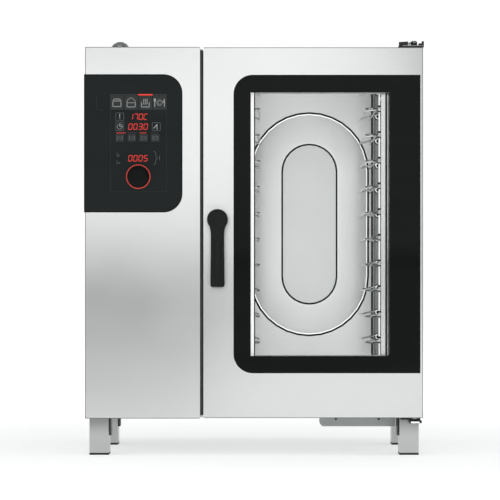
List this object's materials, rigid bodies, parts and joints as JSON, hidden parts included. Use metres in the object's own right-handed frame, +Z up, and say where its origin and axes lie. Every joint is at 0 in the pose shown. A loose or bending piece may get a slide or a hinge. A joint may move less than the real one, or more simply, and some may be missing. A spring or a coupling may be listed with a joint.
{
  "type": "combi steamer oven",
  "caption": "Table-top combi steamer oven on legs: glazed side-hinged door with hanging lever, dial control panel, hanging racks, and fans behind an oval baffle.",
  "frame": {"origin": "on the floor, at the middle of the whole oven's footprint", "axes": "+Z up, front with the door towards -Y, +X to the right seen from the front"},
  "size_m": [0.88, 0.887, 1.1312],
  "materials": {
    "brushed_steel": "fine horizontal brushing, satin",
    "cavity_steel": "smooth bright stainless sheet",
    "rack_steel": "polished stainless",
    "leg_steel": "satin stainless tube",
    "pin_steel": "turned",
    "galvanised": "dull galvanised sheet",
    "mineral_wool": "compressed mineral wool",
    "seal_rubber": "matt black silicone",
    "motor_paint": "satin black",
    "black_steel": "satin black powder coat",
    "black_glass": "gloss black, back-painted glass",
    "red_ring": "red, lit from behind",
    "black_plastic": "fine matt texture",
    "foot_plastic": "matt",
    "circuit_board": "solder mask",
    "clear_glass": "clear float glass"
  },
  "bodies": {
    "oven": {"base_plate": "galvanised", "left_side_panel": "brushed_steel", "right_side_panel": "brushed_steel", "rear_panel": "brushed_steel", "roof_panel": "brushed_steel", "control_front": "brushed_steel", "partition_wall": "galvanised", "front_frame": "cavity_steel", "cavity_shell": "cavity_steel", "insulation": "mineral_wool", "door_gasket": "seal_rubber", "edge_seal": "seal_rubber", "baffle_panel": "cavity_steel", "air_guide": "cavity_steel", "suction_plate": "cavity_steel", "heating_coil": "cavity_steel", "injection_pipe": "cavity_steel", "fan_motor_upper": "motor_paint", "fan_motor_lower": "motor_paint", "rack_left": "rack_steel", "rack_right": "rack_steel", "exhaust_elbow": "brushed_steel", "drain_box": "galvanised", "drain_pipe": "galvanised", "condensate_tray": "galvanised", "hinge_bracket_top": "black_steel", "hinge_bracket_bottom": "black_steel", "hinge_pin_top": "pin_steel", "hinge_pin_bottom": "pin_steel", "control_glass": "black_glass", "dial_ring": "red_ring", "control_board": "circuit_board", "electrics_plate": "galvanised", "contactor": "black_plastic", "solenoid_valve": "black_plastic", "strike_pin": "pin_steel", "leg_front_left": "leg_steel", "leg_bracket_front_left": "black_steel", "leg_front_right": "leg_steel", "leg_bracket_front_right": "black_steel", "leg_rear_left": "leg_steel", "leg_bracket_rear_left": "black_steel", "leg_rear_right": "leg_steel", "leg_bracket_rear_right": "black_steel"},
    "door": {"door_shell": "brushed_steel", "door_inner_panel": "brushed_steel", "door_glass_outer": "clear_glass", "door_glass_inner": "clear_glass", "handle_rosette": "black_plastic"},
    "handle": {"handle_lever": "black_plastic", "latch_hook": "pin_steel"},
    "dial_plunger": {"dial_shaft": "pin_steel"},
    "dial": {"dial_knob": "black_plastic"},
    "fan_upper": {"fan_wheel_upper": "cavity_steel"},
    "fan_lower": {"fan_wheel_lower": "cavity_steel"},
    "level_foot_front_left": {"foot_front_left": "foot_plastic"},
    "level_foot_front_right": {"foot_front_right": "foot_plastic"},
    "level_foot_rear_left": {"foot_rear_left": "foot_plastic"},
    "level_foot_rear_right": {"foot_rear_right": "foot_plastic"}
  },
  "joints": [
    {"name": "door_hinge", "type": "hinge", "parent": "oven", "child": "door", "pos_m": [0.415, -0.3585, 0.577], "axis": [0, 0, 1], "range_deg": [0, 180]},
    {"name": "handle_turn", "type": "hinge", "parent": "door", "child": "handle", "pos_m": [-0.0937, -0.41, 0.61], "axis": [0, -1, 0], "range_deg": [0, 180]},
    {"name": "dial_press", "type": "slide", "parent": "oven", "child": "dial_plunger", "axis": [0, 1, 0], "range_m": [0, 0.0015], "stiffness_N_per_m": 1500},
    {"name": "dial_turn", "type": "hinge", "parent": "dial_plunger", "child": "dial", "pos_m": [-0.2995, -0.395, 0.722], "axis": [0, 1, 0], "continuous": true},
    {"name": "fan_upper_spin", "type": "hinge", "parent": "oven", "child": "fan_upper", "pos_m": [0.15325, 0.3, 0.76], "axis": [0, 1, 0], "continuous": true},
    {"name": "fan_lower_spin", "type": "hinge", "parent": "oven", "child": "fan_lower", "pos_m": [0.15325, 0.3, 0.464], "axis": [0, 1, 0], "continuous": true},
    {"name": "foot_adjust_front_left", "type": "slide", "parent": "oven", "child": "level_foot_front_left", "axis": [0, 0, -1], "range_m": [0, 0.02]},
    {"name": "foot_adjust_front_right", "type": "slide", "parent": "oven", "child": "level_foot_front_right", "axis": [0, 0, -1], "range_m": [0, 0.02]},
    {"name": "foot_adjust_rear_left", "type": "slide", "parent": "oven", "child": "level_foot_rear_left", "axis": [0, 0, -1], "range_m": [0, 0.02]},
    {"name": "foot_adjust_rear_right", "type": "slide", "parent": "oven", "child": "level_foot_rear_right", "axis": [0, 0, -1], "range_m": [0, 0.02]}
  ]
}
